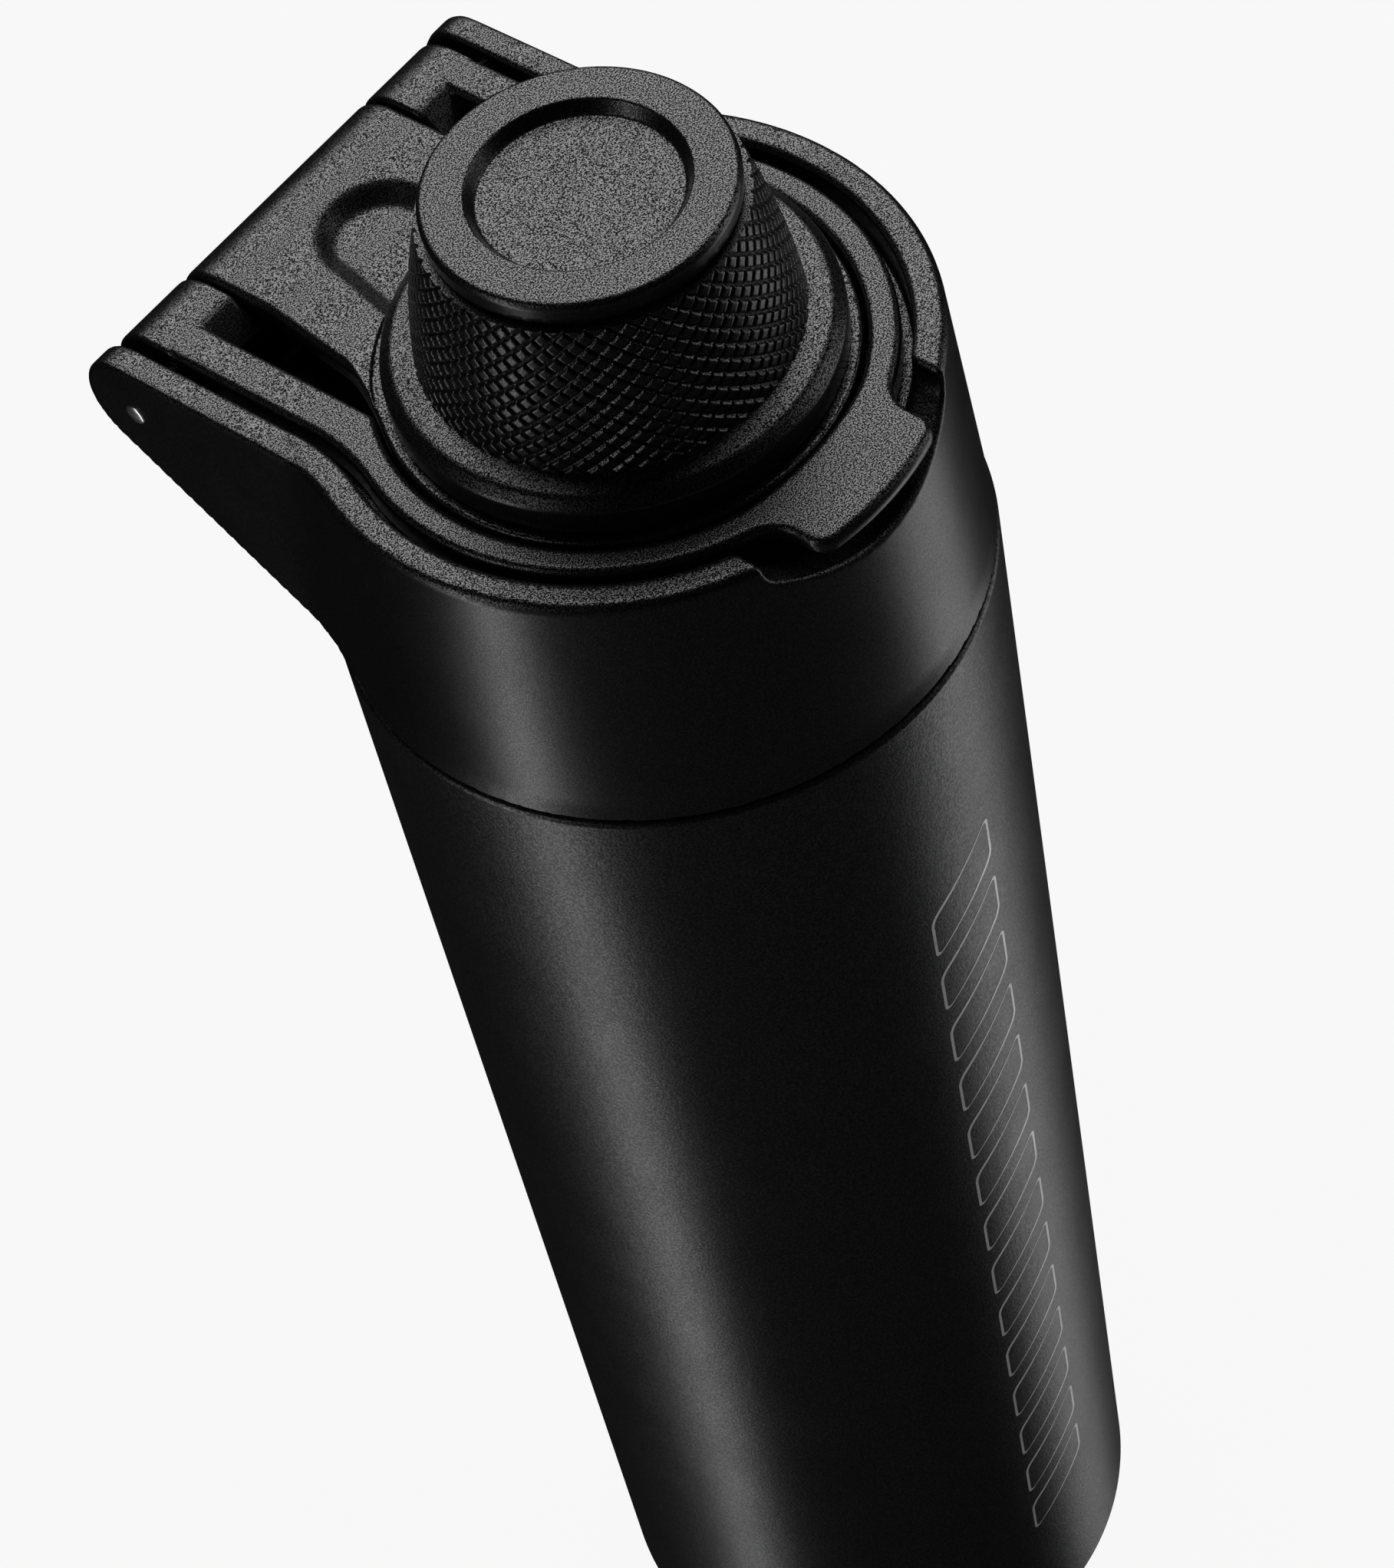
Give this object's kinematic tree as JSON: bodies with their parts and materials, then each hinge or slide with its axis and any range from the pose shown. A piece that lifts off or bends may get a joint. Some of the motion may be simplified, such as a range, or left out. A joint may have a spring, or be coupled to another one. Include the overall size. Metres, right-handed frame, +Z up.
{
  "type": "insulated drinking bottle",
  "caption": "Double-wall drinking bottle with a screw lid, a fold-up carry loop and a knurled quarter-turn cap on a hinged arm.",
  "frame": {"origin": "middle of the flat silicone foot on the standing surface", "axes": "+Z up along the bottle's axis, +Y towards the lid's hinge, -Y towards the loop's thumb tab"},
  "size_m": [0.073, 0.0868, 0.2758],
  "materials": {
    "powder_coat": "matt black powder coat with fine orange peel",
    "steel": "bare stainless steel",
    "copper_foil": "thin copper foil",
    "lid_plastic": "black moulded plastic with spark-eroded grain",
    "inner_plastic": "smooth black food-grade plastic",
    "silicone": "dark silicone rubber"
  },
  "bodies": {
    "bottle": {"outer_shell": "powder_coat", "inner_vessel": "steel", "base_plate": "steel", "vacuum_plug": "steel", "base_pad": "silicone", "getter_capsule": "steel", "foil_wrap": "copper_foil"},
    "lid_seal": {"lid_gasket": "silicone"},
    "lid": {"lid_collar": "lid_plastic", "lid_insert": "inner_plastic", "spout": "inner_plastic", "spout_seal": "silicone", "hinge_pin": "steel"},
    "loop": {"carry_loop": "lid_plastic"},
    "arm": {"cap_arm": "lid_plastic"},
    "cap": {"cap_grip": "lid_plastic", "cap_disc": "lid_plastic", "cap_skirt": "inner_plastic", "cap_seal": "silicone", "cap_retainer": "inner_plastic"}
  },
  "joints": [
    {"name": "lid_lift", "type": "slide", "parent": "bottle", "child": "lid_seal", "axis": [0, 0, 1], "range_m": [0, 0.005]},
    {"name": "lid_turn", "type": "hinge", "parent": "lid_seal", "child": "lid", "pos_m": [0, 0, 0.2347], "axis": [0, 0, 1], "range_deg": [0, 450]},
    {"name": "loop_fold", "type": "hinge", "parent": "lid", "child": "loop", "pos_m": [0, 0.0434, 0.2441], "axis": [-1, 0, 0], "range_deg": [0, 180]},
    {"name": "arm_fold", "type": "hinge", "parent": "lid", "child": "arm", "pos_m": [0, 0.0434, 0.2441], "axis": [-1, 0, 0], "range_deg": [0, 150]},
    {"name": "cap_turn", "type": "hinge", "parent": "arm", "child": "cap", "pos_m": [0, 0, 0.2509], "axis": [0, 0, -1], "range_deg": [0, 90]}
  ],
  "couplings": [
    {"joint": "lid_lift", "follows": "lid_turn", "m_per_rad": 0.0006366}
  ]
}
